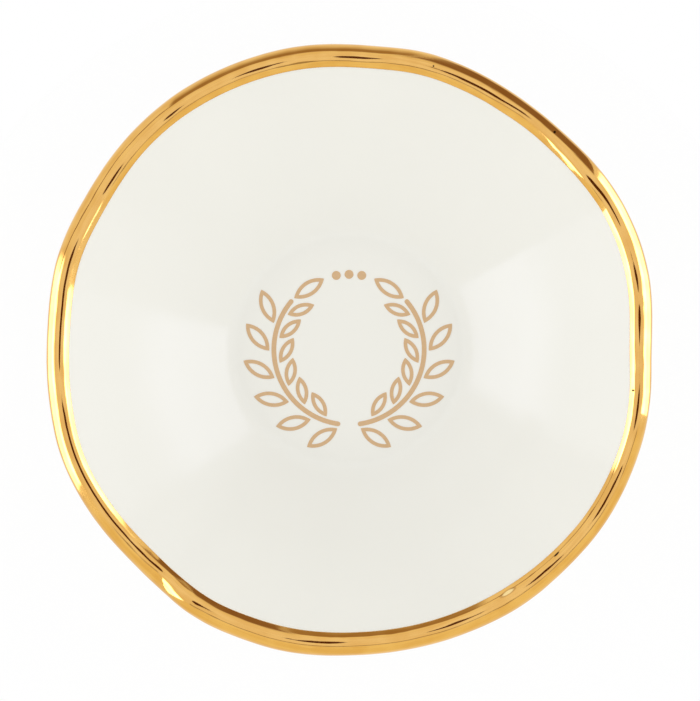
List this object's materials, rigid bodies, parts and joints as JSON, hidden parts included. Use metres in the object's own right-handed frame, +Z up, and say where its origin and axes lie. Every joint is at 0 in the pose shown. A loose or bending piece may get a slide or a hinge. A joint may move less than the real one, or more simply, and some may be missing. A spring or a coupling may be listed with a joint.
{
  "type": "ring dish",
  "caption": "Small round ceramic ring dish with a hand-pinched wavy gold lip, ivory gloss glaze, a foot ring and a printed leaf wreath on its flat floor, for rings and trinkets.",
  "frame": {"origin": "on the table, under the middle of the dish's box", "axes": "+Z up out of the bowl; +X and +Y in the plane of the table, +Y towards the open top of the wreath"},
  "size_m": [0.1069, 0.108, 0.0289],
  "materials": {
    "bare_clay": "matte",
    "ivory_glaze": "gloss",
    "gold_lustre": "polished",
    "tan_print": "satin"
  },
  "bodies": {
    "root": {"clay_body": "bare_clay", "glaze_coat": "ivory_glaze", "recess_glaze": "ivory_glaze", "gold_rim": "gold_lustre", "wreath_stems": "tan_print", "wreath_leaves": "tan_print", "wreath_berries": "tan_print"}
  },
  "joints": []
}
